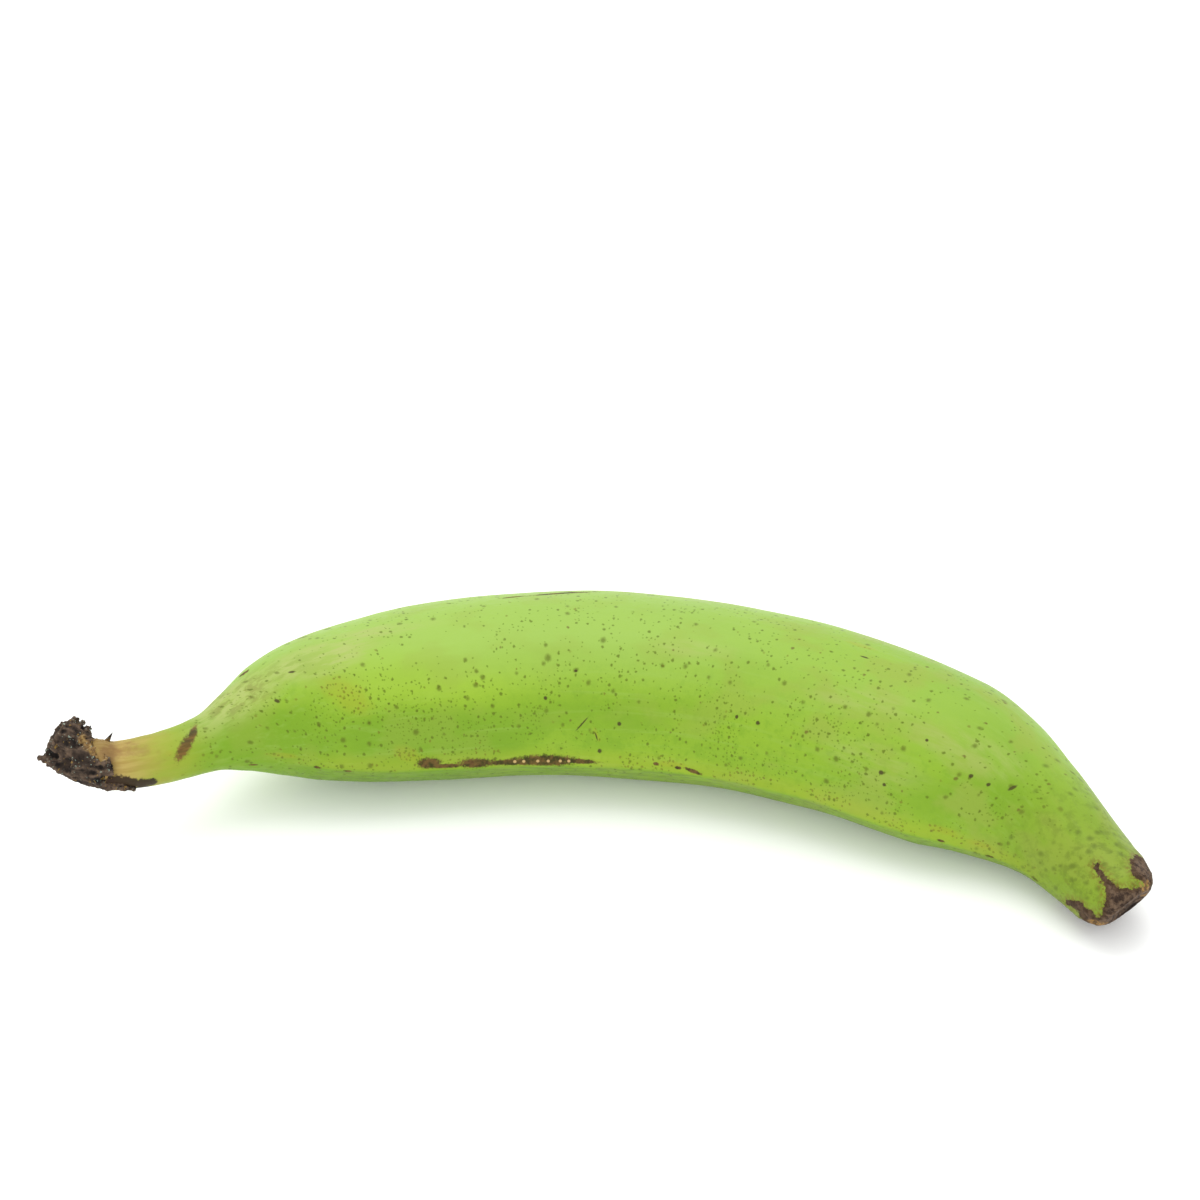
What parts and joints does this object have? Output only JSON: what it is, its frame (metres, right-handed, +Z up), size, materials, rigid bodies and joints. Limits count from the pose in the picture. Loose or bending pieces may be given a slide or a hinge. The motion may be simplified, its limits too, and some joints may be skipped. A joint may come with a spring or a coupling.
{
  "type": "plantain",
  "caption": "Green cooking plantain as picked: a long angular fruit, bent, with a bare stalk and dry torn crown, lying on its side.",
  "frame": {"origin": "middle of the footprint, on the surface that the fruit lies on", "axes": "+X from the crown towards the blossom end, -Y out of the hollow side of the bend, +Z up"},
  "size_m": [0.2678, 0.0823, 0.0432],
  "materials": {
    "peel": "satin"
  },
  "bodies": {
    "root": {"plantain": "peel"}
  },
  "joints": []
}
